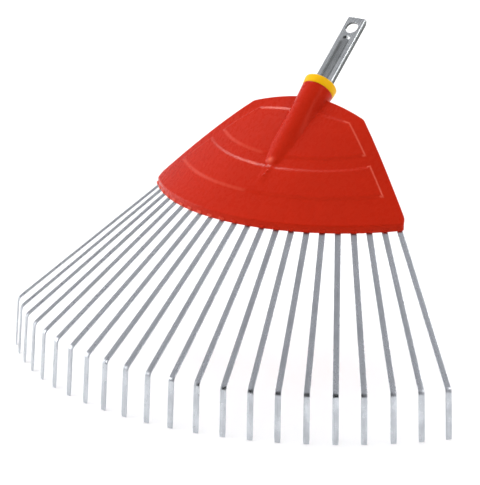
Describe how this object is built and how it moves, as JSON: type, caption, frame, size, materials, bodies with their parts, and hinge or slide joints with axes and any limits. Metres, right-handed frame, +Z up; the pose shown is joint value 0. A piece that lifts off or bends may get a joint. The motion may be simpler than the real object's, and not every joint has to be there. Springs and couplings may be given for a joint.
{
  "type": "leaf rake head",
  "caption": "Fan rake head: flat sprung steel tines with down-turned hooks, held under a moulded shroud, with a pressed tang that latches into a handle.",
  "frame": {"origin": "centre of the latch hole in the tang, at the middle of the sheet", "axes": "+X across the rake, -Y the way the tines point, +Z up, square to the level plane that all the tine tips touch"},
  "size_m": [0.4242, 0.3002, 0.2683],
  "materials": {
    "shroud_plastic": "glossy moulded polypropylene, signal red",
    "clamp_plastic": "moulded plastic, red, a little duller than the shroud",
    "collar_plastic": "glossy moulded plastic, yellow",
    "tang_steel": "pressed sheet steel, bright zinc plated",
    "tine_steel": "flat spring steel strip, galvanised, satin",
    "fastener_steel": "zinc plated"
  },
  "bodies": {
    "head": {"shroud": "shroud_plastic", "clamp_plate": "clamp_plastic", "clamp_screws": "fastener_steel", "collar": "collar_plastic", "tang": "tang_steel", "tang_screw": "fastener_steel"},
    "tine_01": {"tine_01": "tine_steel"},
    "tine_02": {"tine_02": "tine_steel"},
    "tine_03": {"tine_03": "tine_steel"},
    "tine_04": {"tine_04": "tine_steel"},
    "tine_05": {"tine_05": "tine_steel"},
    "tine_06": {"tine_06": "tine_steel"},
    "tine_07": {"tine_07": "tine_steel"},
    "tine_08": {"tine_08": "tine_steel"},
    "tine_09": {"tine_09": "tine_steel"},
    "tine_10": {"tine_10": "tine_steel"},
    "tine_11": {"tine_11": "tine_steel"},
    "tine_12": {"tine_12": "tine_steel"},
    "tine_13": {"tine_13": "tine_steel"},
    "tine_14": {"tine_14": "tine_steel"},
    "tine_15": {"tine_15": "tine_steel"},
    "tine_16": {"tine_16": "tine_steel"},
    "tine_17": {"tine_17": "tine_steel"},
    "tine_18": {"tine_18": "tine_steel"},
    "tine_19": {"tine_19": "tine_steel"},
    "tine_20": {"tine_20": "tine_steel"},
    "tine_21": {"tine_21": "tine_steel"},
    "tine_22": {"tine_22": "tine_steel"}
  },
  "joints": [
    {"name": "tine_01_flex", "type": "hinge", "parent": "head", "child": "tine_01", "pos_m": [-0.11211, -0.11079, -0.12157], "axis": [-0.6374, 0.7705, 0], "range_deg": [-4, 6], "stiffness_Nm_per_rad": 2.7},
    {"name": "tine_02_flex", "type": "hinge", "parent": "head", "child": "tine_02", "pos_m": [-0.10396, -0.11985, -0.12157], "axis": [-0.6997, 0.7145, 0], "range_deg": [-4, 6], "stiffness_Nm_per_rad": 2.7},
    {"name": "tine_03_flex", "type": "hinge", "parent": "head", "child": "tine_03", "pos_m": [-0.09507, -0.12819, -0.12157], "axis": [-0.757, 0.6534, 0], "range_deg": [-4, 6], "stiffness_Nm_per_rad": 2.7},
    {"name": "tine_04_flex", "type": "hinge", "parent": "head", "child": "tine_04", "pos_m": [-0.08552, -0.13576, -0.12157], "axis": [-0.809, 0.5878, 0], "range_deg": [-4, 6], "stiffness_Nm_per_rad": 2.7},
    {"name": "tine_05_flex", "type": "hinge", "parent": "head", "child": "tine_05", "pos_m": [-0.07537, -0.1425, -0.12157], "axis": [-0.8554, 0.518, 0], "range_deg": [-4, 6], "stiffness_Nm_per_rad": 2.7},
    {"name": "tine_06_flex", "type": "hinge", "parent": "head", "child": "tine_06", "pos_m": [-0.06469, -0.14837, -0.12157], "axis": [-0.8957, 0.4446, 0], "range_deg": [-4, 6], "stiffness_Nm_per_rad": 2.7},
    {"name": "tine_07_flex", "type": "hinge", "parent": "head", "child": "tine_07", "pos_m": [-0.05356, -0.15333, -0.12157], "axis": [-0.9298, 0.3681, 0], "range_deg": [-4, 6], "stiffness_Nm_per_rad": 2.7},
    {"name": "tine_08_flex", "type": "hinge", "parent": "head", "child": "tine_08", "pos_m": [-0.04205, -0.15734, -0.12157], "axis": [-0.9573, 0.289, 0], "range_deg": [-4, 6], "stiffness_Nm_per_rad": 2.7},
    {"name": "tine_09_flex", "type": "hinge", "parent": "head", "child": "tine_09", "pos_m": [-0.03025, -0.16037, -0.12157], "axis": [-0.9781, 0.2079, 0], "range_deg": [-4, 6], "stiffness_Nm_per_rad": 2.7},
    {"name": "tine_10_flex", "type": "hinge", "parent": "head", "child": "tine_10", "pos_m": [-0.01824, -0.1624, -0.12157], "axis": [-0.9921, 0.1253, 0], "range_deg": [-4, 6], "stiffness_Nm_per_rad": 2.7},
    {"name": "tine_11_flex", "type": "hinge", "parent": "head", "child": "tine_11", "pos_m": [-0.00609, -0.16342, -0.12157], "axis": [-0.9991, 0.0419, 0], "range_deg": [-4, 6], "stiffness_Nm_per_rad": 2.7},
    {"name": "tine_12_flex", "type": "hinge", "parent": "head", "child": "tine_12", "pos_m": [0.00609, -0.16342, -0.12157], "axis": [-0.9991, -0.0419, 0], "range_deg": [-4, 6], "stiffness_Nm_per_rad": 2.7},
    {"name": "tine_13_flex", "type": "hinge", "parent": "head", "child": "tine_13", "pos_m": [0.01824, -0.1624, -0.12157], "axis": [-0.9921, -0.1253, 0], "range_deg": [-4, 6], "stiffness_Nm_per_rad": 2.7},
    {"name": "tine_14_flex", "type": "hinge", "parent": "head", "child": "tine_14", "pos_m": [0.03025, -0.16037, -0.12157], "axis": [-0.9781, -0.2079, 0], "range_deg": [-4, 6], "stiffness_Nm_per_rad": 2.7},
    {"name": "tine_15_flex", "type": "hinge", "parent": "head", "child": "tine_15", "pos_m": [0.04205, -0.15734, -0.12157], "axis": [-0.9573, -0.289, 0], "range_deg": [-4, 6], "stiffness_Nm_per_rad": 2.7},
    {"name": "tine_16_flex", "type": "hinge", "parent": "head", "child": "tine_16", "pos_m": [0.05356, -0.15333, -0.12157], "axis": [-0.9298, -0.3681, 0], "range_deg": [-4, 6], "stiffness_Nm_per_rad": 2.7},
    {"name": "tine_17_flex", "type": "hinge", "parent": "head", "child": "tine_17", "pos_m": [0.06469, -0.14837, -0.12157], "axis": [-0.8957, -0.4446, 0], "range_deg": [-4, 6], "stiffness_Nm_per_rad": 2.7},
    {"name": "tine_18_flex", "type": "hinge", "parent": "head", "child": "tine_18", "pos_m": [0.07537, -0.1425, -0.12157], "axis": [-0.8554, -0.518, 0], "range_deg": [-4, 6], "stiffness_Nm_per_rad": 2.7},
    {"name": "tine_19_flex", "type": "hinge", "parent": "head", "child": "tine_19", "pos_m": [0.08552, -0.13576, -0.12157], "axis": [-0.809, -0.5878, 0], "range_deg": [-4, 6], "stiffness_Nm_per_rad": 2.7},
    {"name": "tine_20_flex", "type": "hinge", "parent": "head", "child": "tine_20", "pos_m": [0.09507, -0.12819, -0.12157], "axis": [-0.757, -0.6534, 0], "range_deg": [-4, 6], "stiffness_Nm_per_rad": 2.7},
    {"name": "tine_21_flex", "type": "hinge", "parent": "head", "child": "tine_21", "pos_m": [0.10396, -0.11985, -0.12157], "axis": [-0.6997, -0.7145, 0], "range_deg": [-4, 6], "stiffness_Nm_per_rad": 2.7},
    {"name": "tine_22_flex", "type": "hinge", "parent": "head", "child": "tine_22", "pos_m": [0.11211, -0.11079, -0.12157], "axis": [-0.6374, -0.7705, 0], "range_deg": [-4, 6], "stiffness_Nm_per_rad": 2.7}
  ]
}
